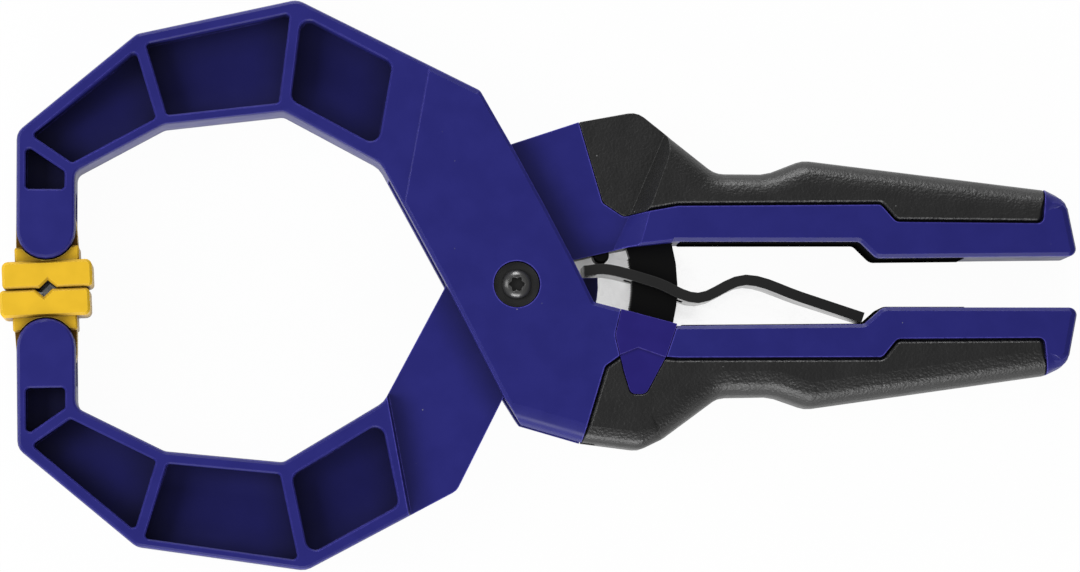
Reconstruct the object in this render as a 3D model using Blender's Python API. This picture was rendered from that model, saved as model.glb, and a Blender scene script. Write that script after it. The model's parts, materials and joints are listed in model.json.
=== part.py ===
"""Ratcheting spring clamp, lying on its far face with its jaws shut.

Two crossed levers turn on one screw. Squeezing the handles shuts the jaws, a curved toothed
bar holds them, and two pinch buttons push the catch off the bar so that the leaf spring can
open the handles again.

X runs from the jaws to the handle tips, Y across the jaws and Z up through the thickness. The
origin is on the pivot's axis, at the far face. Both levers are drawn the same way up: the rear
lever is then mirrored in Y and turned by REST_ANGLE.

Sizes are in millimetres. main() scales the finished pieces to metres.
"""

import math

import bmesh
import bpy
from mathutils import Matrix, Vector

METRES_PER_MM = 0.001

# Overall sizes
THICKNESS = 27.0  # arms, fork and handles
REACH = 150.8  # pivot to pad pin, along X
ARM_RISE = 91.4  # pivot to the back of an arm
HANDLE_LENGTH = 181.1  # pivot to the tip of a handle
PIN_RISE = 17.3  # pad pin above the front lever's centre line
REAR_PIN_RISE = 18.5
OPENING = 100.0  # between the pad faces, handles wide open
REST_ANGLE = math.radians(0.8)  # between the levers' centre lines, pads shut
PAD_TILT = math.radians(2.6)  # both pads, swivelled together

# Clearances
GAP = 0.3  # between pieces that touch
SWING_GAP = 1.2  # round what turns inside the fork

# Levers
TIP_RADIUS = 9.4
EDGE_CHAMFER = 0.7
ARM_EDGE = 1.8  # softness of an arm's edges
EDGE = 1.2  # softness of the fork's and handle's edges
BACK_EDGE = 6.0  # softness of the hub's and handle's backs
TIP_EDGE = 2.2  # softness of a handle's end
ARM_STEP = 0.35  # each face of an arm below the cheeks and handles
RIB = 3.6  # between two pockets
POCKET_WEB = 4.0  # left in the middle of the thickness
POCKET_FLARE = 0.45
POCKET_FLOOR = 0.6  # from a jaw slot to its first pocket
CHEEK = 6.5  # each side of the fork
CHEEK_GAP = 0.5
SPINE = 3.2  # closes the fork's back
SPINE_SHARE = 0.17  # of the arm's sloping back, past the crease
FORK_DEPTH = 6.2  # from the face's crease back to the fork's floor
HUB_RADIUS = 26.4
BLIND = 1.5  # near wall over a cross pin's hole
HUMP_END = 60.0  # where the handle's hump falls to its waist

# Pivot
SLEEVE_RADIUS = 4.0
SCREW_RADIUS = 2.5
HEAD_RADIUS = 4.7
HEAD_HEIGHT = 2.4
RECESS_RADIUS = 2.6
FLANGE_RADIUS = 7.2
FLANGE = 1.5
SCREW_SINK = 4.2  # depth of the near counterbore
NUT_SINK = 2.4  # depth of the far counterbore
NUT_GRIP = 9.0  # depth of the nut's barrel

# Pads
TONGUE = 11.0
TONGUE_HALF = 10.3
TONGUE_DOME = 6.5
EAR_SIDE = 2.4  # how far the tongue's sides stand above its pin
EAR_HEIGHT = 5.2
EAR_TAPER = 0.7
EAR_DRAFT = 0.1  # the ears' feet inside the horns
TONGUE_GAP = 0.4
SLOT_DEPTH = 12.2  # slot floor past the pad pin
PAD_HALF = 14.6
PAD_SHORT = 14.2  # from the pin to its other end
HORN_STEP = 1.1  # each side of the horns below the block's side
PAD_BLOCK = 8.8
PAD_DEPTH = 24.0
HORN_DROP = 5.4  # horn tops below the pad pin
VEE_HALF = 2.8
VEE_DEPTH = 2.5
FACE_GAP = 0.3  # between the two pad faces
PAD_PIN_RADIUS = 2.0

# Grips
GRIP_SIDE = 2.0
GRIP_BACK = 5.0
GRIP_ROUND = 1.2
GRIP_SOFT = 8.0  # softness of a grip along its back
HUMP_SOFT = 5.6  # and round its hump
INLAY_DEPTH = 3.6
INLAY_WALL = 3.2  # handle wall each side of an inlay

# Ratchet
BAR_INNER = 37.2
BAR_OUTER = 52.3
BAR_THICKNESS = 6.0
BAR_GAP = 0.5
BAR_TOP = 31.0  # degrees from X, inside the upper handle
BAR_TAIL = -60.5
TOOTH_PITCH = 1.15  # degrees
TOOTH_DEPTH = 0.7
RATCHET_PIN_RADIUS = 1.5
PAWL_PIN_RADIUS = 1.4
PAWL_PIN_AT = (32.5, -42.0)  # radius and angle from the pivot
PAWL_NOSE = (-28.0, -19.0)  # angles between which the catch has teeth
PAWL_BODY = 4.4
PAWL_ROOM = 29.2  # inner radius of the space behind the catch
WING_LAP = 1.5  # how far the catch's wings lap over the bar
WING_TOP = 6.9  # above the middle of the thickness
BUTTON_FLOOR = 4.9
BUTTON_GAP = 0.25
BUTTON_TRAVEL = 1.4
RAMP_GAP = 0.6  # along the radius, button ramp to wing ramp

# Leaf spring
SPRING_THICKNESS = 3.4
SPRING_WIDTH = 20.0
SPRING_END_WIDTH = 13.0
SPRING_PIN_RADIUS = 2.6
COIL_RADIUS = 1.5
COIL_WIRE = 0.25
COIL_TURNS = 4

MIDDLE = THICKNESS / 2
NECK = THICKNESS - 2 * (CHEEK + CHEEK_GAP)
ARC_STEP = math.radians(15)
SHORTEST_EDGE = 0.1
NEARLY_STRAIGHT = 0.05
FLAT_TWIST = 0.05  # cubic millimetres between a side's four corners
SOFT_DEPTHS = (0, EDGE_CHAMFER, 1.7, 3.1, 5.0)  # where a soft edge's facets meet
FAR = 200  # beyond every edge, for cuts that run out of the part


# ---- Plane geometry -------------------------------------------------------------------------


def path(*corners):
    """Corners (x, y) or (x, y, radius), with a radius each."""
    return [(*corner, 0)[:3] for corner in corners]


def soft(softness, *corners):
    """The corners, with a softness for the edge that starts at each."""
    return [(*corner[:3], softness) for corner in corners]


def handle(share, y, radius=0):
    """A corner of the handle at a share of the way from its hump to its tip, y in millimetres."""
    x = HUMP_END + share * (HANDLE_LENGTH - HUMP_END)
    return (x, y, radius)


def arm(reach_share, rise_share, radius=0):
    return (-reach_share * REACH, rise_share * ARM_RISE, radius)


def polar(radius, degrees):
    angle = math.radians(degrees)
    return (radius * math.cos(angle), radius * math.sin(angle))


def arc(radius, start, end, centre=(0, 0)):
    """Points on a circle from one angle to another, in degrees."""
    steps = max(2, round(abs(math.radians(end - start)) / ARC_STEP * 2))
    angles = (start + (end - start) * i / steps for i in range(steps + 1))
    return [(centre[0] + x, centre[1] + y, 0) for x, y in (polar(radius, a) for a in angles)]


def turned(corner, angle):
    x, y = (Matrix.Rotation(angle, 2) @ Vector(corner[:2]))[:]
    return (x, y, *corner[2:])


def flipped(corner):
    return (corner[0], -corner[1], *corner[2:])


def area(corners):
    ends = zip(corners, corners[1:] + corners[:1])
    return sum(a[0] * b[1] - b[0] * a[1] for a, b in ends) / 2


def inset(corners, distances):
    """The polygon with each edge moved inwards by its own distance."""
    if isinstance(distances, float):
        distances = [distances] * len(corners)
    side = 1 if area(corners) > 0 else -1
    lines = []
    for i, distance in enumerate(distances):
        start, end = Vector(corners[i][:2]), Vector(corners[(i + 1) % len(corners)][:2])
        along = (end - start).normalized()
        lines.append((start + side * distance * Vector((-along.y, along.x)), along))
    moved = []
    for i, corner in enumerate(corners):
        (p, d), (q, e) = lines[i - 1], lines[i]
        turn = d.x * e.y - d.y * e.x
        reach = ((q - p).x * e.y - (q - p).y * e.x) / turn if abs(turn) > 1e-6 else None
        point = q if reach is None else p + reach * d
        moved.append((point.x, point.y, *corner[2:]))
    return moved


def softness(corner):
    """What a corner says of the edge that starts there: 0 for a plain chamfer."""
    return corner[3] if len(corner) > 3 else 0


def rounded(corners):
    """Points (x, y, before, after): an arc at each corner that has a radius, and the softness
    of the edges on both sides of each point."""
    points = []
    for i, corner in enumerate(corners):
        x, y, radius = corner[:3]
        before, after = softness(corners[i - 1]), softness(corner)
        here = Vector((x, y))
        back = Vector(corners[i - 1][:2]) - here
        ahead = Vector(corners[(i + 1) % len(corners)][:2]) - here
        turn = math.pi - back.angle(ahead)
        if radius == 0 or turn < NEARLY_STRAIGHT:
            points.append((x, y, before, after))
            continue
        trim = min(radius * math.tan(turn / 2), 0.499 * back.length, 0.499 * ahead.length)
        radius = trim / math.tan(turn / 2)
        start = here + back.normalized() * trim
        middle = here + (back.normalized() + ahead.normalized()).normalized() * (
            math.hypot(trim, radius)
        )
        spoke = start - middle
        sign = 1 if back.cross(ahead) < 0 else -1
        steps = max(1, round(turn / ARC_STEP))
        for step in range(steps + 1):
            point = middle + Matrix.Rotation(sign * turn * step / steps, 2) @ spoke
            value = before + (after - before) * step / steps
            points.append((point.x, point.y, value, value))
    return [
        p for i, p in enumerate(points) if math.dist(p[:2], points[i - 1][:2]) > SHORTEST_EDGE
    ]


def draw(soft_edge, depth, chamfer):
    """How far an edge stands in from the outline at a depth below the face."""
    if soft_edge == 0:
        return max(chamfer - depth, 0)
    rest = max(soft_edge - depth, 0)
    return soft_edge - math.sqrt(soft_edge**2 - rest**2)


def eased(points, depth, chamfer):
    """The outline at a depth below the face, each side drawn in by its own softness."""
    side = 1 if area(points) > 0 else -1
    result = []
    for i, (x, y, before, after) in enumerate(points):
        here = Vector((x, y))
        d = (here - Vector(points[i - 1][:2])).normalized()
        e = (Vector(points[(i + 1) % len(points)][:2]) - here).normalized()
        p = side * draw(before, depth, chamfer) * Vector((-d.y, d.x))
        q = side * draw(after, depth, chamfer) * Vector((-e.y, e.x))
        turn = d.x * e.y - d.y * e.x
        if abs(turn) < NEARLY_STRAIGHT:
            point = here + (p + q) / 2
        else:
            point = here + p + ((q - p).x * e.y - (q - p).y * e.x) / turn * d
        result.append((point.x, point.y))
    return result


# ---- Solids ---------------------------------------------------------------------------------


def new_object(name, bm):
    bmesh.ops.recalc_face_normals(bm, faces=bm.faces)
    mesh = bpy.data.meshes.new(name)
    bm.to_mesh(mesh)
    bm.free()
    obj = bpy.data.objects.new(name, mesh)
    bpy.context.scene.collection.objects.link(obj)
    return obj


def add_side(bm, a, b, c, d):
    """One face, or two where it's twisted, so that each copy of it folds the same way."""
    twist = (b.co - a.co).cross(d.co - a.co).dot(c.co - a.co)
    if abs(twist) < FLAT_TWIST:
        bm.faces.new((a, b, c, d))
        return
    bm.faces.new((a, b, c))
    bm.faces.new((a, c, d))


def stack(name, rings):
    """A solid through a pile of outlines (points, height) that have as many points each."""
    bm = bmesh.new()
    loops = [[bm.verts.new((p[0], p[1], z)) for p in points] for points, z in rings]
    bm.faces.new(loops[0])
    bm.faces.new(loops[-1])
    for lower, upper in zip(loops, loops[1:]):
        for i in range(len(lower)):
            j = (i + 1) % len(lower)
            add_side(bm, lower[i], lower[j], upper[j], upper[i])
    return new_object(name, bm)


def prism(name, corners, low, high, chamfer=0.0):
    """The outline, rounded at its corners, between two heights."""
    points = rounded(corners)
    if not chamfer:
        return stack(name, [(points, low), (points, high)])
    deepest = max([chamfer, *(softness(corner) for corner in corners)])
    depths = [depth for depth in SOFT_DEPTHS if depth < 0.8 * deepest] + [deepest]
    sides = [(eased(points, depth, chamfer), depth) for depth in depths]
    rings = [(ring, low + depth) for ring, depth in sides]
    return stack(name, rings + [(ring, high - depth) for ring, depth in reversed(sides)])


def round_solid(name, centre, profile, sides=48):
    """A solid of revolution about an upright axis, from (radius, height) pairs."""
    rings = []
    for radius, z in profile:
        spokes = (polar(radius, 360 * i / sides) for i in range(sides))
        rings.append(([(centre[0] + x, centre[1] + y) for x, y in spokes], z))
    return stack(name, rings)


def rod(name, centre, radius, low, high, sides=24):
    return round_solid(name, centre, [(radius, low), (radius, high)], sides)


def combine(target, other, operation="DIFFERENCE"):
    """Applies a Boolean with another object, which is used up."""
    modifier = target.modifiers.new(operation.title(), "BOOLEAN")
    modifier.object = other
    modifier.operation = operation
    bpy.context.view_layer.update()
    graph = bpy.context.evaluated_depsgraph_get()
    result = bpy.data.meshes.new_from_object(target.evaluated_get(graph))
    target.modifiers.clear()
    old = target.data
    target.data = result
    result.name = target.name
    bpy.data.meshes.remove(old)
    bpy.data.objects.remove(other)


def cut(target, *cutters):
    for cutter in cutters:
        combine(target, cutter)


def join(target, *others):
    for other in others:
        combine(target, other, "UNION")


def copied(obj):
    twin = obj.copy()
    twin.data = obj.data.copy()
    bpy.context.scene.collection.objects.link(twin)
    return twin


def moved(obj, matrix):
    obj.data.transform(matrix)
    if matrix.determinant() < 0:
        obj.data.flip_normals()
    return obj


def to_rear(obj):
    """From the front lever's outline to the rear lever's place."""
    mirror = Matrix.Diagonal((1, -1, 1, 1))
    return moved(obj, Matrix.Rotation(REST_ANGLE, 4, "Z") @ mirror)


def to_far_side(obj):
    flip = Matrix.Translation((0, 0, THICKNESS)) @ Matrix.Diagonal((1, 1, -1, 1))
    return moved(obj, flip)


def set_origin(obj, point):
    obj.data.transform(Matrix.Translation(-Vector(point)))
    obj.location = point
    return obj


# ---- Places that follow from the sizes ------------------------------------------------------

TIP = (-REACH, PIN_RISE)
REAR_TIP = turned((-REACH, -REAR_PIN_RISE), REST_ANGLE)
PIN_SPAN = Vector(TIP) - Vector(REAR_TIP)
PAD_FACE = (PIN_SPAN @ Vector((-math.sin(PAD_TILT), math.cos(PAD_TILT))) - FACE_GAP) / 2
SHUT_ANGLE = Vector(TIP).angle(Vector(REAR_TIP))  # between the pad pins, at the pivot
OPEN_SPAN = OPENING + 2 * PAD_FACE
TIP_ARM = math.hypot(REACH, PIN_RISE)
REAR_TIP_ARM = math.hypot(REACH, REAR_PIN_RISE)
OPEN_ANGLE = (
    math.acos((TIP_ARM**2 + REAR_TIP_ARM**2 - OPEN_SPAN**2) / (2 * TIP_ARM * REAR_TIP_ARM))
    - SHUT_ANGLE
)

JAW_BACK = -REACH - TIP_RADIUS
JAW_FRONT = -REACH + TIP_RADIUS
FORK_CORNER = path((-11.8, 62.4, 2.5))
CREASE = path((-28.2, 70.1), (-35.5, 29.1))
NECK_CORNER = path((-19.9, 65.8, 4.0))
NECK_FOOT = path((-5.3, 37.5))
CHEEK_EDGE = path((-0.6, 42.9), (9.0, 25.3), (18.6, 7.0), (24.8, -5.6, 0.8), (34.2, -8.0, 2))
HANDLE_START = path((50.6, -13.2, 5))
HANDLE_TIP = [handle(1.0, -7.0, 2.5), handle(0.971, -25.5, 6.5)]

# Each lever's own corners. An arm's back runs from its jaw, and its front runs back to the jaw.
# Each pocket, from the jaw, has the rims of its outer and inner walls.
FRONT = {
    "rise": PIN_RISE,
    "arm_back": [(JAW_BACK, 48.4, 5), arm(0.809, 0.8764, 4), arm(0.4675, 1.0, 6)],
    "arm_front": [
        arm(0.290, 0.4234, 7), arm(0.496, 0.605, 3), arm(0.7507, 0.557, 3), (JAW_FRONT, 35.7, 3)
    ],
    "last_pocket": (arm(0.249, 0.813), arm(0.290, 0.4234)),
    "rims": [(2.9, 3.4), (3.9, 3.0), (3.8, 2.9), (3.9, 4.4)],
    "inner": [handle(0.4275, -12.5, 2), handle(0.4775, -7.1, 3)],
    "hump": path((47.2, -49.4, 6.5), (39.8, -53.0, 6.5)),
    "grip_corner": path((20.9, -50.6)),
    "waist": [handle(0.280, -39.6, 9), handle(0.185, -35.6, 9), handle(0.045, -35.9, 8)],
    "grip_end": handle(0.9178, -28.6),
    "grip_edge": [
        *path((28.2, -26.2, 2), (33.8, -22.2, 2), (52.2, -23.4, 3)),
        handle(0.475, -23.1, 2), handle(0.5147, -17.2, 2.5), handle(0.908, -16.8, 2),
    ],
    "hub_bottom": path((1.5, -45.0)),
}
REAR = {
    "rise": REAR_PIN_RISE,
    "arm_back": [(JAW_BACK, 50.6, 5), arm(0.8143, 0.9015, 4), arm(0.455, 0.993, 6)],
    "arm_front": [
        arm(0.2858, 0.407, 7), arm(0.5007, 0.6138, 3), arm(0.7507, 0.570, 3),
        (JAW_FRONT, 37.8, 4),
    ],
    "last_pocket": (arm(0.240, 0.805), arm(0.2858, 0.407)),
    "rims": [(2.8, 3.4), (3.7, 3.9), (2.9, 3.8), (3.9, 5.0)],
    "inner": [handle(0.417, -12.5, 2), handle(0.4616, -7.1, 3)],
    "hump": path((51.0, -46.4, 14), (39.8, -55.6, 6.5)),
    "grip_corner": path((20.9, -52.4)),
    "waist": [handle(0.272, -39.3, 9), handle(0.175, -34.9, 9), handle(0.040, -35.2, 8)],
    "grip_end": handle(0.9178, -28.8),
    "grip_edge": [
        *path((28.2, -26.2, 2), (34.9, -21.6, 2), (52.2, -24.5, 3)),
        handle(0.475, -24.2, 2), handle(0.5147, -18.6, 2.5), handle(0.908, -17.6, 2),
    ],
    "hub_bottom": path((-1.0, -45.5)),
}
HUB_SIDE = path((-4.0, -36.2, 6), (-23.0, 0.7))

SHIELD = path(
    (33.6, -7.9),
    (31.6, -16.2, 6),
    (34.4, -28.0, 10),
    (36.6, -35.2, 2.2),
    (41.4, -35.2, 2.6),
    (48.0, -22.9, 6),
    (51.5, -12.6),
)
CHEVRON = path((20, -27.9), (38.9, -20.2), (60, -27.5), (60, -45), (20, -45))
SPRING_LINE = path(
    (21.8, 4.5), (30.1, 4.9), (45.1, 0.8), (58.6, -4.1), (74.0, 1.8), (92.0, -3.7), (112.0, -10.2)
)
SPRING_REST = SPRING_LINE[1][1] + SPRING_THICKNESS / 2 + 2 * GAP
SPRING_PIN_AT = (27.5, SPRING_REST + SPRING_PIN_RADIUS)


def jaw_end(shape):
    """The round end that a pad swivels on, from its front to its back."""
    low = shape["rise"] - TIP_RADIUS
    return [(JAW_FRONT, low, TIP_RADIUS), (JAW_BACK, low, TIP_RADIUS)]


def handle_outline(shape):
    """From the handle's inside round its tip, along its back and up the hub's side."""
    back = [shape["grip_end"], *shape["waist"], *shape["hump"], *shape["grip_corner"]]
    return [
        *soft(EDGE, *HANDLE_START, *shape["inner"]),
        *soft(TIP_EDGE, HANDLE_TIP[0]),
        *soft(BACK_EDGE, HANDLE_TIP[1], *back),
        *soft(EDGE, *shape["hub_bottom"], *HUB_SIDE),
    ]


def arm_outline(shape):
    """From the arm's front round the jaw's end to its back."""
    return soft(ARM_EDGE, *shape["arm_front"], *jaw_end(shape), *shape["arm_back"])


def front_outline():
    fork = soft(EDGE, *FORK_CORNER, *CHEEK_EDGE)
    return [*arm_outline(FRONT), *fork, *handle_outline(FRONT)]


def rear_outline():
    """In the front lever's frame. The hub's round ends in the ledge under the leaf spring."""
    tilt = HUB_RADIUS * math.sin(REST_ANGLE)
    ledge = -(SPRING_LINE[0][1] - SPRING_THICKNESS / 2 - GAP - tilt)
    ledge_angle = math.degrees(math.asin(ledge / HUB_RADIUS))
    hub = arc(HUB_RADIUS, 90, ledge_angle)
    mouth = [(16.5, ledge, 0), *path((16.5, -7.6), (19.0, -8.0), (36.2, -11.7))]
    return [*arm_outline(REAR), *NECK_CORNER, *NECK_FOOT, *hub, *mouth, *handle_outline(REAR)]


def lever_pockets(shape):
    """Outlines of the four pockets between an arm's spokes, each with its corner radius."""
    base = SLOT_DEPTH + shape["rise"] + POCKET_FLOOR
    last_back, last_front = shape["last_pocket"]
    back = [(JAW_BACK, base, 0), *shape["arm_back"], last_back]
    front = [(JAW_FRONT, base, 0), *reversed(shape["arm_front"][1:]), last_front]
    floors = [0.0, RIB / 2, RIB / 2, RIB / 2]
    radii = [1.3, 1.3, 1.3, 3.2]
    for i, (outer, inner) in enumerate(shape["rims"]):
        quad = [back[i], back[i + 1], front[i + 1], front[i]]
        drawn = inset(quad, [outer, RIB / 2, inner, floors[i]])
        yield [(x, y, radii[i]) for x, y, *_ in drawn]


def fork_slot():
    """The space between the fork's cheeks: what the hub and neck sweep, plus a clearance."""
    swing = REST_ANGLE + OPEN_ANGLE
    marks = ((0, HUB_RADIUS), NECK_FOOT[0], NECK_CORNER[0])
    swept = [turned(flipped(mark), swing) for mark in marks]
    along = (Vector(swept[2][:2]) - Vector(swept[1][:2])).normalized()
    aside = Vector((-along.y, along.x)) * SWING_GAP
    wall = [(mark[0] + aside.x, mark[1] + aside.y, 0) for mark in swept]
    wall_start = math.degrees(math.atan2(wall[0][1], wall[0][0]))
    hub = arc(HUB_RADIUS + SWING_GAP, -9, wall_start)[:-1]
    crease_top, crease_foot = (Vector(corner[:2]) for corner in CREASE)
    back = Vector(FORK_CORNER[0][:2]) - Vector(FRONT["arm_back"][-1][:2])
    spine_end = crease_top + back * SPINE_SHARE
    spine_side = [crease_foot * 2 - crease_top, crease_top, spine_end, spine_end + Vector((6, 12))]
    corners = [(*corner, 0) for corner in spine_side]
    corners = inset([*corners, *path((45, 76), (45, 0))], [-FORK_DEPTH, SPINE, 0.0, 0.0, 0.0, 0.0])
    below = wall[-1][1] - 4
    return [*corners, *hub, *wall, (wall[-1][0], below, 0), (-60, below, 0)]


def ring_sector(inner, outer, start, end):
    return [*arc(outer, start, end), *arc(inner, end, start)]


# ---- Levers ---------------------------------------------------------------------------------


def neck_relief(depth):
    """Cuts a lever down to its neck on the near side, out to the ramp into the handle."""
    floor = [
        *path((-42.1, 31.0), (-32.8, 84.0), (8, 84), (33, 42), (33, 0)),
        *path((29.5, -6.0), (33.0, -14.1), (38.5, -25.3), (46.4, -42.9), (55.8, -64), (-20, -64)),
    ]
    top = [
        *path((-42.9, 31.2), (-33.8, 84.4), (8, 84), (40, 42), (40, 0)),
        *path((38.0, -6.0), (40.5, -14.1), (43.8, -25.3), (50.0, -41.6), (57.6, -64), (-20, -64)),
    ]
    face = THICKNESS - depth
    return stack("relief", [(floor, MIDDLE + NECK / 2 - depth), (top, face), (top, face + 5)])


def grip_core(shape, extra=0.0):
    """What the grip goes round: the handle less the grip's back and sides."""
    back = [handle(1.0, -25.0), shape["grip_end"], *shape["waist"], *shape["hump"]]
    back += [*shape["grip_corner"], *path((5, -46.5))]
    closed = [*back, *path((5, 20)), handle(1.0, 20)]
    walls = [GRIP_BACK - extra] * (len(back) - 1) + [0.0] * 3
    low = GRIP_SIDE - extra
    return prism("core", inset(closed, walls), low, THICKNESS - low)


def grip_region(shape, edge_gap, back_gap):
    """The grip's outline, drawn in by one gap along the handle and another along its back."""
    edge = shape["grip_edge"]
    back = [
        *soft(GRIP_SOFT, shape["grip_end"], *shape["waist"]),
        *soft(HUMP_SOFT, *shape["hump"]),
        *shape["grip_corner"],
    ]
    gaps = [edge_gap] * len(edge) + [back_gap] * (len(back) - 1) + [edge_gap]
    return inset([*edge, *back], gaps)


def grip_space(shape):
    """Everything that the grip takes from a lever."""
    space = prism("grip_space", grip_region(shape, 0.0, -4), -FAR, FAR)
    core = grip_core(shape)
    if shape is REAR:
        relief = neck_relief(GRIP_SIDE)
        cut(core, to_far_side(copied(relief)), relief)
    cut(space, core)
    return space


def inlay_region(shape, extra=0.0):
    """A strip along the inside of the handle, from its waist to past the step."""
    top = [handle(-0.06, -13.1), *shape["inner"], handle(0.70, -7.05)]
    deep = [(x, y - INLAY_DEPTH, r) for x, y, r in reversed(top)]
    count = len(top) - 1
    return inset([*top, *deep], [-extra] * count + [extra] + [extra] * count + [extra])


def channel(name, inner, outer, start, end, half):
    sector = ring_sector(inner, outer, start, end)
    return prism(name, sector, MIDDLE - half, MIDDLE + half)


def jaw_tip_cuts(shape):
    """The slot for a pad's tongue and the hole for its pin."""
    half = TONGUE / 2 + TONGUE_GAP
    x, y = -REACH, shape["rise"]
    sides = [(x - 30, y - 30), (x + 30, y - 30)]
    sides += [(x + 30, y + SLOT_DEPTH), (x - 30, y + SLOT_DEPTH)]
    slot = stack("tip_slot", [(sides, MIDDLE - half), (sides, MIDDLE + half)])
    pin = rod("tip_hole", (x, y), PAD_PIN_RADIUS + GAP, -FAR, THICKNESS - BLIND)
    return slot, pin


def arm_face():
    """Where an arm's near face stands lower than the cheeks and the handle."""
    top, foot = (Vector(corner[:2]) for corner in CREASE)
    along = (top - foot).normalized()
    ends = [foot - 60 * along, top + 60 * along]
    aside = ARM_STEP * Vector((along.y, -along.x))
    far = [(-FAR, FAR), (-FAR, -FAR)]
    floor = [tuple(ends[0]), tuple(ends[1]), *far]
    opening = [tuple(ends[0] + aside), tuple(ends[1] + aside), *far]
    face = THICKNESS - ARM_STEP
    return stack("arm_face", [(floor, face), (opening, THICKNESS), (opening, THICKNESS + 5)])


def pocket_cutter(corners):
    """A pocket in the near face, with a flared rim."""
    face = THICKNESS - ARM_STEP
    points = rounded(corners)
    flared = inset([(*point[:2], 0) for point in points], -POCKET_FLARE)
    wide = [(x, y) for x, y, _ in flared]
    rings = [(points, MIDDLE + POCKET_WEB / 2), (points, face - POCKET_FLARE)]
    return stack("pocket", [*rings, (wide, face), (wide, THICKNESS + 1)])


def cut_common(lever, shape):
    """Arm faces, pockets, jaw tip and inlay groove, which both levers have."""
    face = arm_face()
    cut(lever, to_far_side(copied(face)), face)
    for corners in lever_pockets(shape):
        pocket = pocket_cutter(corners)
        cut(lever, to_far_side(copied(pocket)), pocket)
    groove = inlay_region(shape)
    cut(lever, prism("groove", groove, INLAY_WALL, THICKNESS - INLAY_WALL))
    cut(lever, *jaw_tip_cuts(shape))


def button_hole(extra):
    """The shield's outline, through the near face down to the ratchet channel."""
    low = MIDDLE + BUTTON_FLOOR - BUTTON_TRAVEL - GAP
    return prism("button_hole", inset(SHIELD, -extra), low, THICKNESS + 5)


def pawl_pocket():
    half = WING_TOP + 2 * GAP
    return channel("pawl_pocket", PAWL_ROOM, BAR_INNER, PAWL_PIN_AT[1] - 7.5, -16.5, half)


def pawl_pin_hole(extra):
    low = MIDDLE + WING_TOP + 4
    return rod("pawl_pin", polar(*PAWL_PIN_AT), PAWL_PIN_RADIUS + extra, -FAR, low)


def make_front_lever():
    lever = prism("front_lever", front_outline(), 0, THICKNESS, EDGE_CHAMFER)
    cut_common(lever, FRONT)
    half = BAR_THICKNESS / 2 + BAR_GAP
    cut(
        lever,
        grip_space(FRONT),
        prism("fork_slot", fork_slot(), CHEEK, THICKNESS - CHEEK),
        rod("bore", (0, 0), SLEEVE_RADIUS + GAP, -FAR, FAR, sides=48),
        rod("near_sink", (0, 0), FLANGE_RADIUS + GAP, THICKNESS - SCREW_SINK, FAR, sides=48),
        rod("far_sink", (0, 0), FLANGE_RADIUS + GAP, -FAR, NUT_SINK, sides=48),
        channel("bar_channel", BAR_INNER - BAR_GAP, BAR_OUTER + BAR_GAP, BAR_TAIL - 8, -4, half),
        pawl_pocket(),
        pawl_pin_hole(GAP),
        to_far_side(button_hole(BUTTON_GAP)),
        button_hole(BUTTON_GAP),
    )
    return lever


def ratchet_pin_places():
    return [polar(42, 26.5), polar(48, 23.5)]


def make_rear_lever():
    lever = prism("rear_lever", rear_outline(), 0, THICKNESS, EDGE_CHAMFER)
    cut_common(lever, REAR)
    relief = neck_relief(0)
    half = BAR_THICKNESS / 2 + GAP
    cut(
        lever,
        grip_space(REAR),
        to_far_side(copied(relief)),
        relief,
        rod("bore", (0, 0), SLEEVE_RADIUS + GAP, -FAR, FAR, sides=48),
    )
    to_rear(lever)
    near = MIDDLE + NECK / 2 - BLIND
    cut(
        lever,
        channel("bar_root", BAR_INNER - GAP, BAR_OUTER + GAP, -5, BAR_TOP + 0.6, half),
        rod("spring_pin_seat", SPRING_PIN_AT, SPRING_PIN_RADIUS + GAP, -FAR, near),
    )
    for place in ratchet_pin_places():
        cut(lever, rod("pin_hole", place, RATCHET_PIN_RADIUS + GAP, -FAR, near))
    return set_origin(lever, (0, 0, MIDDLE))


# ---- Pieces on the levers -------------------------------------------------------------------


def make_grip(name, shape):
    grip = prism(name, grip_region(shape, GAP, 0.0), 0, THICKNESS, GRIP_ROUND)
    core = grip_core(shape, GAP)
    if shape is REAR:
        relief = neck_relief(GRIP_SIDE - GAP)
        outer = neck_relief(0)
        cut(core, to_far_side(copied(relief)), relief)
        cut(grip, to_far_side(copied(outer)), outer, core)
        return set_origin(to_rear(grip), (0, 0, MIDDLE))
    slot = prism("fork_slot", fork_slot(), CHEEK, THICKNESS - CHEEK)
    hole = button_hole(BUTTON_GAP)
    cut(grip, core, slot, to_far_side(copied(hole)), hole)
    return grip


def make_inlay(name, shape):
    low = INLAY_WALL + GAP
    inlay = prism(name, inlay_region(shape, GAP), low, THICKNESS - low)
    return set_origin(to_rear(inlay), (0, 0, MIDDLE)) if shape is REAR else inlay


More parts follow.
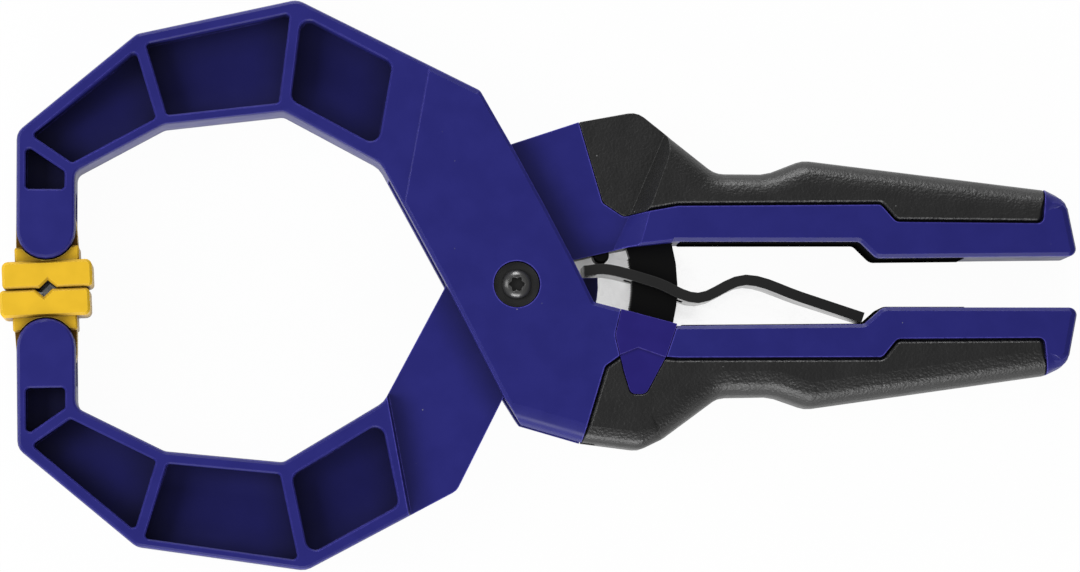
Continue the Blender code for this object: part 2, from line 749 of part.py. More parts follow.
def make_pad(name, place, turn):
    """Drawn with its pin at the origin and its face down, then turned into place."""
    shoulder = -PAD_FACE + PAD_BLOCK
    block = [
        (-PAD_HALF, -PAD_FACE, 1.5), (-VEE_HALF, -PAD_FACE, 0),
        (0, -PAD_FACE + VEE_DEPTH, 0), (VEE_HALF, -PAD_FACE, 0), (PAD_SHORT, -PAD_FACE, 1.5),
        (PAD_SHORT, shoulder, 2.0), (-PAD_HALF, shoulder, 2.0),
    ]
    low, high = MIDDLE - PAD_DEPTH / 2, MIDDLE + PAD_DEPTH / 2
    pad = prism(name, block, low, high, 0.8)
    root = shoulder - 2.0
    horns = [(-TONGUE_HALF, root, 0), (TONGUE_HALF, root, 0)]
    horns += [(TONGUE_HALF, -HORN_DROP, 0.9), (-TONGUE_HALF, -HORN_DROP, 0.9)]
    join(pad, prism("horns", horns, low + HORN_STEP, high - HORN_STEP, 0.6))
    cradle = TIP_RADIUS + TONGUE_GAP
    half = TONGUE / 2
    cut(
        pad,
        rod("near_cradle", (0, 0), cradle, MIDDLE + half, FAR, sides=64),
        rod("far_cradle", (0, 0), cradle, -FAR, MIDDLE - half, sides=64),
    )
    ear_top = TONGUE_HALF - EAR_TAPER
    dome = [(x, y, 0) for x, y, _ in arc(TONGUE_DOME, 55, 125)]
    foot = TONGUE_HALF - EAR_DRAFT
    tongue = [(-foot, root, 0), (foot, root, 0)]
    tongue += [(ear_top, EAR_SIDE, 1.5), (ear_top - EAR_TAPER, EAR_HEIGHT, 1.2), *dome]
    tongue += [(-ear_top + EAR_TAPER, EAR_HEIGHT, 1.2), (-ear_top, EAR_SIDE, 1.5)]
    join(pad, prism("tongue", tongue, MIDDLE - half, MIDDLE + half))
    cut(pad, rod("pin_hole", (0, 0), PAD_PIN_RADIUS + GAP, -FAR, FAR))
    pad.data.transform(Matrix.Translation((0, 0, -MIDDLE)))
    pad.data.transform(Matrix.Rotation(turn, 4, "Z"))
    pad.location = (*place, MIDDLE)
    return pad


def make_pin(name, place, radius, low, high):
    """A cross pin with its ends eased."""
    ease = 0.2 * radius
    profile = [(radius - ease, low), (radius, low + ease), (radius, high - ease)]
    return round_solid(name, place, [*profile, (radius - ease, high)], 32)


def make_pins():
    near = MIDDLE + NECK / 2 - BLIND - GAP
    far = MIDDLE - NECK / 2 + GAP
    top = THICKNESS - BLIND - GAP
    make_pin("upper_pad_pin", TIP, PAD_PIN_RADIUS, GAP, top)
    make_pin("lower_pad_pin", REAR_TIP, PAD_PIN_RADIUS, GAP, top)
    for name, place in zip(("ratchet_pin_inner", "ratchet_pin_outer"), ratchet_pin_places()):
        make_pin(name, place, RATCHET_PIN_RADIUS, far, near)
    make_pin("spring_pin", SPRING_PIN_AT, SPRING_PIN_RADIUS, far, near)
    pawl_top = MIDDLE + WING_TOP + 4 - GAP
    make_pin("pawl_pin", polar(*PAWL_PIN_AT), PAWL_PIN_RADIUS, GAP, pawl_top)


def lobed_recess(low, high):
    """A six-lobed driver recess."""
    points = []
    for degrees in range(0, 360, 10):
        lobe = math.cos(math.radians(6 * degrees))
        points.append(polar(RECESS_RADIUS * (0.87 + 0.13 * lobe), degrees))
    return stack("recess", [(points, low), (points, high)])


def make_pivot():
    """A flanged sleeve in the near face, its screw, and a flanged nut in the far face."""
    centre = (0, 0)
    low = THICKNESS - SCREW_SINK + GAP
    high = low + FLANGE
    profile = [(SLEEVE_RADIUS, NUT_GRIP + GAP), (SLEEVE_RADIUS, low)]
    sleeve = round_solid(
        "pivot_sleeve", centre, [*profile, (FLANGE_RADIUS, low), (FLANGE_RADIUS, high)]
    )
    cut(sleeve, rod("sleeve_bore", centre, SCREW_RADIUS + GAP, -FAR, FAR, 48))

    head = high + GAP
    profile = [(SCREW_RADIUS, NUT_SINK + GAP), (SCREW_RADIUS, head), (HEAD_RADIUS, head)]
    crown = ((1.0, 0.30), (0.93, 0.56), (0.80, 0.80), (0.62, 1.0))
    profile += [(HEAD_RADIUS * wide, head + HEAD_HEIGHT * up) for wide, up in crown]
    screw = round_solid("pivot_screw", centre, profile)
    cut(screw, lobed_recess(head + 0.3, FAR))

    top = NUT_SINK - GAP
    profile = [(FLANGE_RADIUS, 0), (FLANGE_RADIUS, top), (SLEEVE_RADIUS, top)]
    nut = round_solid("pivot_nut", centre, [*profile, (SLEEVE_RADIUS, NUT_GRIP)])
    cut(nut, rod("nut_bore", centre, SCREW_RADIUS + GAP, top - GAP, FAR, 48))


# ---- Ratchet --------------------------------------------------------------------------------


def toothed_arc(root, crest, start, end):
    """Points along fine saw teeth about the pivot, each rising from root to crest radius."""
    count = round(abs(end - start) / TOOTH_PITCH)
    pitch = (end - start) / count
    points = []
    for i in range(count):
        points.append((*polar(root, start + pitch * i), 0))
        points.append((*polar(crest, start + pitch * (i + 0.85)), 0))
    return points


def make_ratchet_bar():
    teeth = toothed_arc(BAR_INNER + TOOTH_DEPTH, BAR_INNER, BAR_TAIL + 1.5, 13.5)
    root = arc(BAR_INNER + TOOTH_DEPTH, 13.6, BAR_TOP)
    outline = [*arc(BAR_OUTER, BAR_TOP, BAR_TAIL), *teeth, *root]
    half = BAR_THICKNESS / 2
    bar = prism("ratchet_bar", outline, MIDDLE - half, MIDDLE + half)
    for place in ratchet_pin_places():
        cut(bar, rod("pin_hole", place, RATCHET_PIN_RADIUS + GAP, -FAR, FAR))
    return set_origin(bar, (0, 0, MIDDLE))


def ramp_cones(reach):
    """Two cones about the pivot: radius and height above or below the bar add up to the reach."""
    half = BAR_THICKNESS / 2
    span = 12.0
    profile = [(reach - span, MIDDLE - half - span), (reach, MIDDLE - half)]
    profile += [(reach, MIDDLE + half), (reach - span, MIDDLE + half + span)]
    return round_solid("ramps", (0, 0), profile, 96)


RAMP_REACH = BAR_INNER + WING_LAP + WING_TOP - BAR_THICKNESS / 2 - 1.4


def pawl_wings(inner, stem):
    """Both wings and the stems that carry them past the bar."""
    start, end = PAWL_NOSE[1] - 0.5, PAWL_NOSE[0] + 2
    wings = channel("wings", inner, BAR_INNER + WING_LAP, start, end, WING_TOP)
    room = channel("room", stem, BAR_OUTER, 5, -50, BAR_THICKNESS / 2 + 0.4)
    cut(wings, room)
    combine(wings, ramp_cones(RAMP_REACH), "INTERSECT")
    return wings


def make_pawl():
    """A catch with teeth towards the bar, a pivot boss, and ramped wings over the bar."""
    half = BAR_THICKNESS / 2
    nose_low, nose_high = PAWL_NOSE
    boss_angle = PAWL_PIN_AT[1]
    crest = BAR_INNER - GAP
    root = crest - TOOTH_DEPTH
    inner = crest - PAWL_BODY
    outline = [
        *arc(inner, nose_high, boss_angle + 3),
        *arc(root - 0.4, boss_angle + 2, nose_low - 1),
        *toothed_arc(root, crest, nose_low, nose_high),
    ]
    pawl = prism("pawl", outline, MIDDLE - half, MIDDLE + half)
    place = polar(*PAWL_PIN_AT)
    join(pawl, rod("boss", place, 3.0, MIDDLE - half, MIDDLE + half, 32))
    join(pawl, pawl_wings(inner + 0.4, root - 0.3))
    cut(pawl, rod("pin_hole", place, PAWL_PIN_RADIUS + GAP, -FAR, FAR), coil_seat())
    return set_origin(pawl, (*place, MIDDLE))


def coil_frame():
    """The coil spring's axis: out along a radius, behind the catch's nose."""
    angle = math.radians(sum(PAWL_NOSE) / 2)
    return Matrix.Rotation(angle, 4, "Z") @ Matrix.Rotation(math.pi / 2, 4, "Y")


def coil_span():
    start = PAWL_ROOM + GAP
    return start, BAR_INNER - GAP - PAWL_BODY + 1.4


def coil_seat():
    """A blind hole in the back of the catch for the outer end of its spring."""
    end = coil_span()[1] + GAP
    seat = rod("seat", (0, 0), COIL_RADIUS + COIL_WIRE + GAP, end - 4, end)
    moved(seat, coil_frame())
    return moved(seat, Matrix.Translation((0, 0, MIDDLE)))


def make_pawl_spring():
    start, end = coil_span()
    start += COIL_WIRE
    end -= COIL_WIRE
    curve = bpy.data.curves.new("pawl_spring", "CURVE")
    curve.dimensions = "3D"
    curve.bevel_depth = COIL_WIRE
    curve.bevel_resolution = 1
    curve.use_fill_caps = True
    steps = COIL_TURNS * 12
    spline = curve.splines.new("POLY")
    spline.points.add(steps)
    for i, point in enumerate(spline.points):
        x, y = polar(COIL_RADIUS, 30 * i)
        place = coil_frame() @ Vector((x, y, start + (end - start) * i / steps))
        point.co = (*place[:2], place.z + MIDDLE, 1)
    spring = bpy.data.objects.new("pawl_spring", curve)
    bpy.context.scene.collection.objects.link(spring)
    return spring


def make_button(name):
    low = MIDDLE + BUTTON_FLOOR
    button = prism(name, SHIELD, low, THICKNESS)
    step = prism("chevron", CHEVRON, THICKNESS - 0.3, THICKNESS + 5)
    cut(button, step, ramp_cones(RAMP_REACH + RAMP_GAP))
    return button


def make_buttons():
    near = make_button("release_button_front")
    far = copied(near)
    far.name = "release_button_back"
    far.data.name = far.name
    to_far_side(far)
    for button, face in ((near, THICKNESS), (far, 0)):
        set_origin(button, (42, -20, face))


# ---- Leaf spring ----------------------------------------------------------------------------


def smooth_path(knots, per_span=5):
    """A smooth curve through the knots, as Catmull and Rom draw it."""
    knots = [Vector(k[:2]) for k in knots]
    ends = [2 * knots[0] - knots[1], *knots, 2 * knots[-1] - knots[-2]]
    path = []
    for a, b, c, d in zip(ends, ends[1:], ends[2:], ends[3:]):
        for i in range(per_span):
            t = i / per_span
            path.append(
                0.5 * (2 * b + (c - a) * t + (2 * a - 5 * b + 4 * c - d) * t**2
                       + (3 * b - a - 3 * c + d) * t**3)
            )
    return [*path, knots[-1]]


def make_leaf_spring():
    path = smooth_path(SPRING_LINE)
    tangents = [(b - a).normalized() for a, b in zip([path[0], *path], [*path[1:], path[-1]])]
    normals = [Vector((-t.y, t.x)) for t in tangents]
    half = SPRING_THICKNESS / 2
    top = [(p + n * half).to_tuple() + (0,) for p, n in zip(path, normals)]
    bottom = [(p - n * half).to_tuple() + (0,) for p, n in zip(path, normals)]
    width = SPRING_WIDTH / 2
    spring = prism("leaf_spring", [*top, *reversed(bottom)], MIDDLE - width, MIDDLE + width)
    cut(
        spring,
        channel("slot", BAR_INNER - 2, BAR_OUTER + 2, -30, 30,
                BAR_THICKNESS / 2 + 2 * BAR_GAP),
    )
    start = BAR_OUTER + 4
    end = SPRING_LINE[-1][0]
    for vert in spring.data.vertices:
        share = min(max((vert.co.x - start) / (end - start), 0), 1)
        factor = 1 + share * (SPRING_END_WIDTH / SPRING_WIDTH - 1)
        vert.co.z = MIDDLE + (vert.co.z - MIDDLE) * factor
    return spring


# ---- Finishes -------------------------------------------------------------------------------

BLUE = (0.030, 0.030, 0.165)
BLACK = (0.022, 0.022, 0.023)
YELLOW = (0.76, 0.47, 0.035)
STEEL = (0.50, 0.50, 0.52)
FINISHES = {
    "front_lever": (BLUE, 0.45, 0.0),
    "rear_lever": (BLUE, 0.45, 0.0),
    "lower_grip": (BLACK, 0.6, 0.0),
    "upper_grip": (BLACK, 0.6, 0.0),
    "lower_inlay": (BLACK, 0.6, 0.0),
    "upper_inlay": (BLACK, 0.6, 0.0),
    "upper_pad": (YELLOW, 0.5, 0.0),
    "lower_pad": (YELLOW, 0.5, 0.0),
    "pivot_screw": (BLACK, 0.25, 0.8),
    "pivot_sleeve": (BLACK, 0.3, 0.8),
    "pivot_nut": (BLACK, 0.3, 0.8),
    "ratchet_bar": (BLACK, 0.4, 0.0),
    "leaf_spring": (BLACK, 0.3, 0.0),
    "release_button_front": (BLUE, 0.4, 0.0),
    "release_button_back": (BLUE, 0.4, 0.0),
    "pawl": (STEEL, 0.35, 1.0),
}
PIN_FINISH = (STEEL, 0.3, 1.0)


def add_material(obj):
    colour, roughness, metallic = FINISHES.get(obj.name, PIN_FINISH)
    material = bpy.data.materials.new(obj.name)
    material.use_nodes = True
    shader = material.node_tree.nodes["Principled BSDF"]
    shader.inputs["Base Color"].default_value = (*colour, 1)
    shader.inputs["Roughness"].default_value = roughness
    shader.inputs["Metallic"].default_value = metallic
    obj.data.materials.clear()
    obj.data.materials.append(material)


def to_metres(obj):
    obj.data.transform(Matrix.Scale(METRES_PER_MM, 4))
    obj.location *= METRES_PER_MM


def shade(obj):
    if obj.type == "MESH":
        obj.data.shade_smooth()
        obj.data.set_sharp_from_angle(angle=math.radians(28))


def main():
    for obj in list(bpy.data.objects):
        bpy.data.objects.remove(obj)
    make_front_lever()
    make_rear_lever()
    make_grip("lower_grip", FRONT)
    make_grip("upper_grip", REAR)
    make_inlay("lower_inlay", FRONT)
    make_inlay("upper_inlay", REAR)
    make_pad("upper_pad", TIP, PAD_TILT)
    make_pad("lower_pad", REAR_TIP, math.pi + PAD_TILT)
    make_pivot()
    make_pins()
    make_ratchet_bar()
    make_pawl()
    make_pawl_spring()
    make_buttons()
    make_leaf_spring()
    for obj in bpy.data.objects:
        add_material(obj)
        to_metres(obj)
        shade(obj)


main()
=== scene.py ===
"""Spring clamp: two moulded levers on a pivot screw, with rubber grips and swivelling pads."""

import json
import math

import bmesh
import bpy
from mathutils import Matrix, Vector


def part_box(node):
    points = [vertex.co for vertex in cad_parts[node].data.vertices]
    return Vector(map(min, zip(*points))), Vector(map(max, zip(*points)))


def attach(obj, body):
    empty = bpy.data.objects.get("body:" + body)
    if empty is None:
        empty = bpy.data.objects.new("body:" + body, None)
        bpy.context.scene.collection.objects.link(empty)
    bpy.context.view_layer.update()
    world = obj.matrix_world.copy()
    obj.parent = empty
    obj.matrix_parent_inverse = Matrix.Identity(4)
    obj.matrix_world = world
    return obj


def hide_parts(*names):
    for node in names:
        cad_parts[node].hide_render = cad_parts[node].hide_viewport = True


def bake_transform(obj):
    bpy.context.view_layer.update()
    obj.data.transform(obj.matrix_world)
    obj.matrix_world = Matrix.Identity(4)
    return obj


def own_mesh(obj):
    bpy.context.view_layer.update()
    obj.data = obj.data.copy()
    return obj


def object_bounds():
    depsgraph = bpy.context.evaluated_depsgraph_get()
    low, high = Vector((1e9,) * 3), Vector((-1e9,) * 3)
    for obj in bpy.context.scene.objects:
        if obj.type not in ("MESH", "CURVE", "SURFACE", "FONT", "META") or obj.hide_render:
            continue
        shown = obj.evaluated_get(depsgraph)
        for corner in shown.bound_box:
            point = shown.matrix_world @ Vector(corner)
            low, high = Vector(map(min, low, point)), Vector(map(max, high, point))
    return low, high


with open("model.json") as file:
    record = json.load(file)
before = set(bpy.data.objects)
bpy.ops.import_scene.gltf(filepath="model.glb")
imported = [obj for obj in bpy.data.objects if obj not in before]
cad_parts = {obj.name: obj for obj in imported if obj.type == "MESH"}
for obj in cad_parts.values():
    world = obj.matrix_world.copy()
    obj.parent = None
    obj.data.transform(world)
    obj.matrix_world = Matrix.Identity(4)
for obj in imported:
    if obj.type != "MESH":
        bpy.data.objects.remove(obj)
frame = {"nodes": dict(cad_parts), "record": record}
cad_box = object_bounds()

MM = 0.001
PER_MM = 1000.0  # the scale of a texture with one feature in each millimetre
PER_CM = 100.0

LOWEST = Vector(cad_box[0]).z
NEAR_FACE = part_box("front_lever")[1].z
BODY_OF = {
    node: body
    for body, nodes in frame["record"]["behaviour"]["bodies"].items()
    for node in nodes
}

SHARP_ANGLE = math.radians(28)  # a turn between two faces that shows as an edge
FLAT_ANGLE = math.radians(0.5)  # a turn so small that the two faces are made one
MERGE = 0.002 * MM
EASED_EDGE = 0.2 * MM  # the width of the rounding along a piece's sharp edges
EASED_LEAF = 0.3 * MM
EASED_WIRE = 0.05 * MM

LEAF_STEP = 2.5 * MM  # between the cuts across the leaf spring


# ---- Small helpers --------------------------------------------------------------------------


def srgb(red, green, blue):
    """A colour as written for a screen, 0 to 255, as the linear value that a shader takes."""
    values = []
    for part in (red, green, blue):
        part /= 255
        values.append(part / 12.92 if part <= 0.04045 else ((part + 0.055) / 1.055) ** 2.4)
    return (*values, 1.0)


def grey(level):
    return srgb(level, level, level)


def link(obj):
    bpy.context.scene.collection.objects.link(obj)
    return obj


# ---- Shader groups --------------------------------------------------------------------------


class Nodes:
    """Places and links the nodes of one tree, left to right."""

    def __init__(self, tree):
        self.tree = tree
        self.count = 0

    def add(self, kind, **settings):
        node = self.tree.nodes.new(kind)
        self.count += 1
        node.location = (180 * self.count, 0)
        for name, value in settings.items():
            setattr(node, name, value)
        return node

    def feed(self, socket, value):
        """Links another socket's value, or sets a plain one."""
        if isinstance(value, bpy.types.NodeSocket):
            self.tree.links.new(value, socket)
        else:
            socket.default_value = value

    def math(self, operation, *values, clamp=False):
        node = self.add("ShaderNodeMath", operation=operation, use_clamp=clamp)
        for socket, value in zip(node.inputs, values):
            self.feed(socket, value)
        return node.outputs[0]

    def ramp(self, value, low, high):
        """0 below low, 1 above high, smooth between them."""
        node = self.add("ShaderNodeMapRange", interpolation_type="SMOOTHSTEP")
        self.feed(node.inputs["Value"], value)
        node.inputs["From Min"].default_value = low
        node.inputs["From Max"].default_value = high
        return node.outputs["Result"]

    def noise(self, vector, scale, detail=2.0, rough=0.5):
        node = self.add("ShaderNodeTexNoise")
        self.feed(node.inputs["Vector"], vector)
        self.feed(node.inputs["Scale"], scale)
        node.inputs["Detail"].default_value = detail
        node.inputs["Roughness"].default_value = rough
        return node.outputs["Fac"]

    def mix(self, factor, a, b):
        node = self.add("ShaderNodeMix", data_type="RGBA")
        colour_sockets = [socket for socket in node.inputs if socket.type == "RGBA"]
        self.feed(node.inputs["Factor"], factor)
        self.feed(colour_sockets[0], a)
        self.feed(colour_sockets[1], b)
        return next(socket for socket in node.outputs if socket.type == "RGBA")

    def group(self, tree, **values):
        """Places a shader group. A value's name is its input's, with _ for each space."""
        node = self.add("ShaderNodeGroup", node_tree=tree)
        for name, value in values.items():
            node.inputs[name.replace("_", " ")].default_value = value
        return node.outputs


def new_group(name, inputs, outputs):
    """A group with these inputs, each name with its default value, and these outputs."""
    tree = bpy.data.node_groups.new(name, "ShaderNodeTree")
    for label, value in inputs.items():
        socket = tree.interface.new_socket(label, in_out="INPUT", socket_type="NodeSocketFloat")
        socket.default_value = value
    for label in outputs:
        tree.interface.new_socket(label, in_out="OUTPUT", socket_type="NodeSocketFloat")
    nodes = Nodes(tree)
    return tree, nodes, nodes.add("NodeGroupInput").outputs, nodes.add("NodeGroupOutput").inputs


def make_grain_group():
    """Fine moulded grain: a height for the bump and a slow cloudiness for the tone."""
    fine_share, broad_share = 0.6, 0.4
    broad_scale = 0.33 * PER_MM
    tree, n, given, out = new_group(
        "Moulded grain", {"Grains per mm": 3.0, "Clouds per cm": 1.2}, ["Height", "Cloud"]
    )
    place = n.add("ShaderNodeTexCoord").outputs["Object"]
    fine = n.noise(place, n.math("MULTIPLY", given["Grains per mm"], PER_MM), detail=1.0)
    broad = n.noise(place, n.math("MULTIPLY", given["Grains per mm"], broad_scale), detail=2.0)
    height = n.math("MULTIPLY_ADD", fine, fine_share, n.math("MULTIPLY", broad, broad_share))
    n.feed(out["Height"], height)
    cloud_scale = n.math("MULTIPLY", given["Clouds per cm"], PER_CM)
    n.feed(out["Cloud"], n.noise(place, cloud_scale, detail=3.0))
    return tree


def make_edge_highlight_group():
    """Where a painted highlight lies: one on a sharp outer edge, broken up along its length."""
    tree, n, given, out = new_group(
        "Painted edge highlights", {"Width mm": 0.5, "Patches per cm": 6.0}, ["Edge"]
    )
    geometry = n.add("ShaderNodeNewGeometry").outputs
    bevel = n.add("ShaderNodeBevel", samples=6)
    n.feed(bevel.inputs["Radius"], n.math("MULTIPLY", given["Width mm"], MM))
    dot = n.add("ShaderNodeVectorMath", operation="DOT_PRODUCT")
    n.feed(dot.inputs[0], bevel.outputs["Normal"])
    n.feed(dot.inputs[1], geometry["Normal"])
    sharp = n.ramp(n.math("SUBTRACT", 1.0, dot.outputs["Value"]), low=0.02, high=0.2)
    outer = n.ramp(geometry["Pointiness"], low=0.49, high=0.53)
    place = n.add("ShaderNodeTexCoord").outputs["Object"]
    patch_scale = n.math("MULTIPLY", given["Patches per cm"], PER_CM)
    patches = n.noise(place, patch_scale, detail=3.0, rough=0.6)
    # Painted highlight mask: sharp edges, broken into patches.
    highlight = n.math("MULTIPLY", sharp, n.ramp(patches, low=0.15, high=0.6))
    n.feed(out["Edge"], n.math("MULTIPLY", highlight, outer))
    return tree


def make_recess_shade_group():
    """How deep in a corner or pocket a place lies, for the painted shade that darkens the
    colour there.
    """
    tree, n, given, out = new_group("Painted recess shade", {"Reach mm": 10.0}, ["Recess"])
    # Painted shade: a place darkens the more closely walls surround it.
    near = n.add("ShaderNodeAmbientOcclusion", samples=8)
    n.feed(near.inputs["Distance"], n.math("MULTIPLY", given["Reach mm"], MM))
    n.feed(out["Recess"], n.math("SUBTRACT", 1.0, near.outputs["AO"], clamp=True))
    return tree


def make_speck_group():
    """Stray pale specks of dust, a few in each square centimetre."""
    tree, n, given, out = new_group(
        "Dust specks", {"Cells per cm": 5.0, "Share": 0.2, "Size": 0.1}, ["Speck"]
    )
    place = n.add("ShaderNodeTexCoord").outputs["Object"]
    cells = n.add("ShaderNodeTexVoronoi")
    n.feed(cells.inputs["Vector"], place)
    n.feed(cells.inputs["Scale"], n.math("MULTIPLY", given["Cells per cm"], PER_CM))
    chance = n.add("ShaderNodeSeparateColor")
    n.feed(chance.inputs["Color"], cells.outputs["Color"])
    chosen = n.math("LESS_THAN", chance.outputs["Red"], given["Share"])
    size = n.math("MULTIPLY", chance.outputs["Green"], given["Size"])
    inside = n.math("LESS_THAN", cells.outputs["Distance"], size)
    n.feed(out["Speck"], n.math("MULTIPLY", chosen, inside))
    return tree


GRAIN = make_grain_group()
EDGE_HIGHLIGHTS = make_edge_highlight_group()
PAINTED_RECESS_SHADE = make_recess_shade_group()
SPECKS = make_speck_group()


# ---- Materials ------------------------------------------------------------------------------

CLOUD_SHADE = 0.92  # of the colour, where the clouding is darkest
CLOUD_ROUGHNESS = 0.06  # between the glossiest and the dullest clouds
SHEEN_ROUGHNESS = 0.35
DUST = grey(150)
DUST_COVER = 0.6


def moulded(
    name, colour, deep, highlight, roughness, bump, *,
    grain=3.0, relief=0.05, reach=10.0, sunk=0.8, edge=0.5, highlight_share=0.5, specks=None,
    metallic=0.0, specular=0.2, sheen=0.0,
):
    """A finish with grain, clouding, painted shade in recesses and painted highlights on edges.

    deep is the colour of the painted shade in recesses and highlight that of the painted
    highlight on sharp outer edges, and sunk and highlight_share say how strongly each shows.
    reach and edge are the widths of the painted shade and of the painted highlight, in mm.
    grain counts the grains per mm, relief is their height in mm and bump how strongly it shows.
    specks is the share of dust cells that hold a speck, or None for a finish without dust.
    """
    material = bpy.data.materials.new(name)
    material.use_nodes = True
    n = Nodes(material.node_tree)
    shader = material.node_tree.nodes["Principled BSDF"].inputs
    grains = n.group(GRAIN, Grains_per_mm=grain)
    edges = n.group(EDGE_HIGHLIGHTS, Width_mm=edge)
    recess_shade = n.group(PAINTED_RECESS_SHADE, Reach_mm=reach)
    cloud = n.ramp(grains["Cloud"], low=0.3, high=0.7)
    shaded = (*(CLOUD_SHADE * part for part in colour[:3]), 1.0)
    tone = n.mix(cloud, shaded, colour)
    # Painted shade: the deep colour is mixed in where walls close in around a place.
    tone = n.mix(n.math("MULTIPLY", recess_shade["Recess"], sunk, clamp=True), tone, deep)
    # Painted highlight: a light colour laid along sharp outer edges.
    tone = n.mix(n.math("MULTIPLY", edges["Edge"], highlight_share), tone, highlight)
    if specks is not None:
        speck = n.group(SPECKS, Share=specks)["Speck"]
        tone = n.mix(n.math("MULTIPLY", speck, DUST_COVER), tone, DUST)
    n.feed(shader["Base Color"], tone)
    glossiest = roughness - CLOUD_ROUGHNESS / 2
    n.feed(shader["Roughness"], n.math("MULTIPLY_ADD", cloud, CLOUD_ROUGHNESS, glossiest))
    shader["Metallic"].default_value = metallic
    shader["Specular IOR Level"].default_value = specular
    shader["Sheen Weight"].default_value = sheen
    shader["Sheen Roughness"].default_value = SHEEN_ROUGHNESS
    bumps = n.add("ShaderNodeBump")
    bumps.inputs["Strength"].default_value = bump
    bumps.inputs["Distance"].default_value = relief * MM
    n.feed(bumps.inputs["Height"], grains["Height"])
    n.feed(shader["Normal"], bumps.outputs["Normal"])
    return material


# In each finish below, the third colour is painted shade for pockets and corners, and the
# fourth a light colour painted as a highlight along sharp outer edges.
BLUE = moulded(
    "blue_plastic", srgb(35, 35, 112), srgb(28, 28, 36), srgb(92, 86, 190), 0.42, 0.2,
    edge=0.9, highlight_share=0.9, specks=0.03,
)
RUBBER = moulded(
    "grip_rubber", grey(15), grey(12), grey(50), 0.46, 1.0,
    grain=1.2, relief=0.3, highlight_share=0.05, specks=0.1, specular=0.58, sheen=0.03,
)
INLAY = moulded("inlay_rubber", grey(16), grey(8), grey(30), 0.8, 0.4, specular=0.0)
BUTTON_BLUE = moulded(
    "button_plastic", srgb(34, 27, 108), srgb(13, 11, 26), srgb(92, 80, 180), 0.42, 0.2,
    highlight_share=0.9,
)
# On the pads the painted shade is strong and short, to darken their narrow steps and corners.
YELLOW = moulded(
    "yellow_plastic", srgb(226, 181, 40), srgb(104, 70, 12), srgb(248, 222, 110), 0.42, 0.15,
    reach=6.0, sunk=2.0, highlight_share=0.8,
)
BLACK = moulded("black_plastic", grey(15), grey(8), grey(60), 0.4, 0.1)
SPRING_STEEL = moulded("spring_steel", grey(30), grey(12), grey(80), 0.2, 0.2, specular=0.5)
BLACK_STEEL = moulded(
    "black_steel", grey(78), grey(10), grey(130), 0.28, 0.1, metallic=0.4, specular=0.5,
)
STEEL = moulded(
    "bright_steel", grey(150), grey(60), grey(200), 0.3, 0.1, metallic=1.0, specular=0.5,
)

FINISHES = {  # every piece that isn't here is bright steel
    "front_lever": BLUE,
    "rear_lever": BLUE,
    "release_button_front": BUTTON_BLUE,
    "release_button_back": BUTTON_BLUE,
    "lower_grip": RUBBER,
    "upper_grip": RUBBER,
    "lower_inlay": INLAY,
    "upper_inlay": INLAY,
    "ratchet_bar": BLACK,
    "spring_pin": BLACK,
    "leaf_spring": SPRING_STEEL,
    "upper_pad": YELLOW,
    "lower_pad": YELLOW,
    "pivot_screw": BLACK_STEEL,
    "pivot_sleeve": BLACK_STEEL,
    "pivot_nut": BLACK_STEEL,
}


# ---- Pieces ---------------------------------------------------------------------------------


def merged_copy(node):
    """The node's mesh as a bmesh with its points joined and its flat faces made whole."""
    bm = bmesh.new()
    bm.from_mesh(frame["nodes"][node].data)
    bmesh.ops.remove_doubles(bm, verts=bm.verts, dist=MERGE)
    bmesh.ops.dissolve_limit(bm, angle_limit=FLAT_ANGLE, verts=bm.verts, edges=bm.edges)
    return bm


def finish_piece(node, bm, ease):
    """The piece with a rounding of that width on its edges, in place of the plain node."""
    mesh = bpy.data.meshes.new(node + "_finished")
    bm.to_mesh(mesh)
    bm.free()
    mesh.shade_smooth()
    mesh.set_sharp_from_angle(angle=SHARP_ANGLE)
    piece = link(bpy.data.objects.new(node + "_finished", mesh))
    bevel = piece.modifiers.new("Eased edges", "BEVEL")
    bevel.width = ease
    bevel.segments = 2
    bevel.limit_method = "ANGLE"
    bevel.angle_limit = SHARP_ANGLE
    flats = piece.modifiers.new("Flat faces", "WEIGHTED_NORMAL")
    flats.keep_sharp = True
    mesh.materials.append(FINISHES.get(node, STEEL))
    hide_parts(node)
    return piece


def bend_leaf_spring():
    """The leaf spring, cut across at every LEAF_STEP along its length, with its place baked
    into its points and tied to no body.
    """
    bm = merged_copy("leaf_spring")
    low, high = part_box("leaf_spring")
    count = int((high.x - low.x) / LEAF_STEP)
    for i in range(1, count):
        bmesh.ops.bisect_plane(
            bm, geom=[*bm.verts, *bm.edges, *bm.faces],
            plane_co=(low.x + i * LEAF_STEP, 0, 0), plane_no=(1, 0, 0),
        )
    piece = finish_piece("leaf_spring", bm, EASED_LEAF)
    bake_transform(piece)


def squeeze_coil_spring():
    """The coil behind the catch, tied to its body with a mesh of its own."""
    bm = merged_copy("pawl_spring")
    piece = finish_piece("pawl_spring", bm, EASED_WIRE)
    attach(piece, BODY_OF["pawl_spring"])
    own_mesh(piece)


def make_pieces():
    for node in sorted(set(frame["nodes"]) - {"leaf_spring", "pawl_spring"}):
        piece = finish_piece(node, merged_copy(node), EASED_EDGE)
        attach(piece, BODY_OF[node])
    bend_leaf_spring()
    squeeze_coil_spring()


# ---- Floor, light and camera ----------------------------------------------------------------

FLOOR_HALF = 3.0  # half its side
FLOOR_GAP = 0.02 * MM  # between the clamp and the floor
FLOOR_GLOW = 0.97  # the share of the floor that glows white; the rest is lit paper
GAP_REACH = 30 * MM  # from which a wall still darkens the floor of a deep gap
AMBIENT = 0.27  # the world's light on the clamp

CAMERA_PLACE = Vector((-79 * MM, -104 * MM, 1890 * MM + NEAR_FACE))
CAMERA_TARGET = Vector((7.4 * MM, -0.6 * MM, NEAR_FACE))
CAMERA_UP = Vector((0, 1, 0))
SENSOR, LENS = 36.0, 197.0  # in mm
FARTHEST_SEEN = 20.0


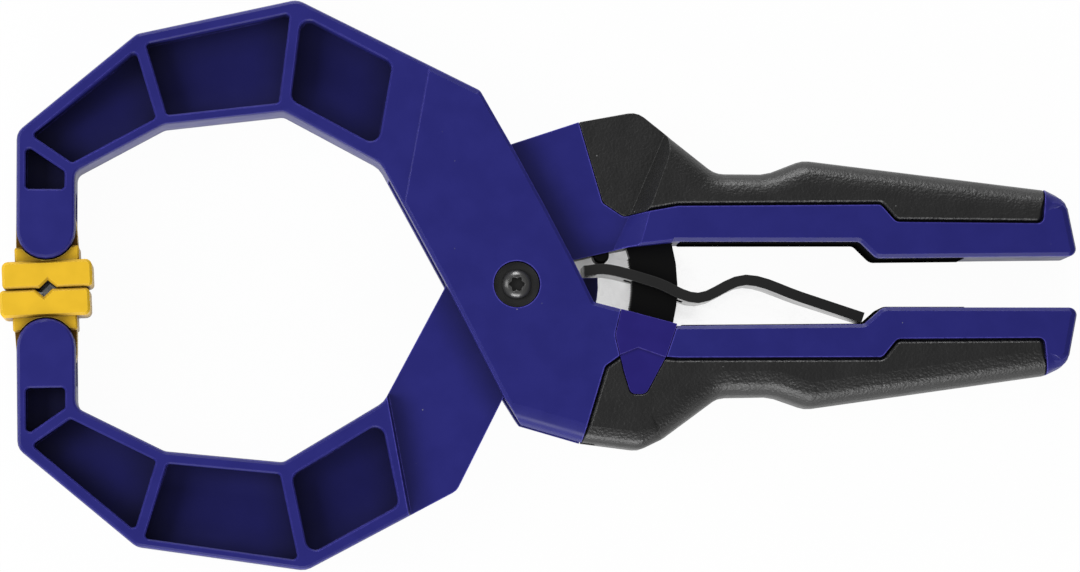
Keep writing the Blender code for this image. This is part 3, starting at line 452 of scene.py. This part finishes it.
def make_floor():
    """A pale sweep of paper. It shows white, and keeps the shadow and the dark of deep gaps."""
    bm = bmesh.new()
    bmesh.ops.create_grid(bm, x_segments=1, y_segments=1, size=FLOOR_HALF)
    bmesh.ops.translate(bm, verts=bm.verts, vec=(0, 0, LOWEST - FLOOR_GAP))
    mesh = bpy.data.meshes.new("floor")
    bm.to_mesh(mesh)
    bm.free()
    floor = link(bpy.data.objects.new("floor", mesh))
    material = bpy.data.materials.new("floor")
    material.use_nodes = True
    n = Nodes(material.node_tree)
    paper = material.node_tree.nodes["Principled BSDF"]
    paper.inputs["Roughness"].default_value = 0.9
    place = n.add("ShaderNodeTexCoord").outputs["Object"]
    tone = n.mix(n.noise(place, scale=40.0), grey(240), grey(246))
    n.feed(paper.inputs["Base Color"], tone)
    glow = n.add("ShaderNodeEmission")
    rays = n.add("ShaderNodeLightPath").outputs
    seen = n.math("MAXIMUM", rays["Is Camera Ray"], rays["Is Glossy Ray"])
    seen = n.math("MAXIMUM", seen, rays["Is Transmission Ray"])
    near = n.add("ShaderNodeAmbientOcclusion", samples=24)
    near.inputs["Distance"].default_value = GAP_REACH
    open_floor = n.ramp(near.outputs["AO"], low=0.02, high=0.12)
    mix = n.add("ShaderNodeMixShader")
    white = n.math("MULTIPLY", n.math("MULTIPLY", seen, FLOOR_GLOW), open_floor)
    n.feed(mix.inputs[0], white)
    n.feed(mix.inputs[1], paper.outputs[0])
    n.feed(mix.inputs[2], glow.outputs[0])
    n.feed(material.node_tree.nodes["Material Output"].inputs["Surface"], mix.outputs[0])
    mesh.materials.append(material)


def make_light(name, place, size, power):
    """A soft rectangle of light that faces the pivot, with its power in watts."""
    lamp = bpy.data.lights.new(name, "AREA")
    lamp.shape = "RECTANGLE"
    lamp.size, lamp.size_y = size
    lamp.energy = power
    obj = link(bpy.data.objects.new(name, lamp))
    obj.location = place
    obj.rotation_euler = (-Vector(place)).to_track_quat("-Z", "Y").to_euler()


def make_world():
    """White all round for the camera, and a low even light for the clamp."""
    world = bpy.data.worlds.new("studio")
    bpy.context.scene.world = world
    world.use_nodes = True
    n = Nodes(world.node_tree)
    background = world.node_tree.nodes["Background"].inputs
    background["Color"].default_value = (1, 1, 1, 1)
    seen = n.add("ShaderNodeLightPath").outputs["Is Camera Ray"]
    n.feed(background["Strength"], n.math("MULTIPLY_ADD", seen, 1.0 - AMBIENT, AMBIENT))


def make_camera():
    data = bpy.data.cameras.new("camera")
    data.sensor_width = SENSOR
    data.lens = LENS
    data.clip_end = FARTHEST_SEEN
    camera = link(bpy.data.objects.new("camera", data))
    back = (CAMERA_PLACE - CAMERA_TARGET).normalized()
    right = CAMERA_UP.cross(back).normalized()
    up = back.cross(right)
    turn = Matrix((right, up, back)).transposed().to_4x4()
    camera.matrix_world = Matrix.Translation(CAMERA_PLACE) @ turn
    bpy.context.scene.camera = camera


make_pieces()
make_floor()
make_world()
make_light("left_key", place=(-1.2, 0.1, 0.9), size=(0.8, 1.0), power=11)
make_light("upper_strip", place=(-0.1, 1.4, 0.55), size=(0.7, 0.5), power=17)
make_light("lower_strip", place=(-0.1, -1.4, 0.55), size=(1.1, 0.5), power=21)
make_camera()
bpy.context.scene.view_settings.view_transform = "Standard"
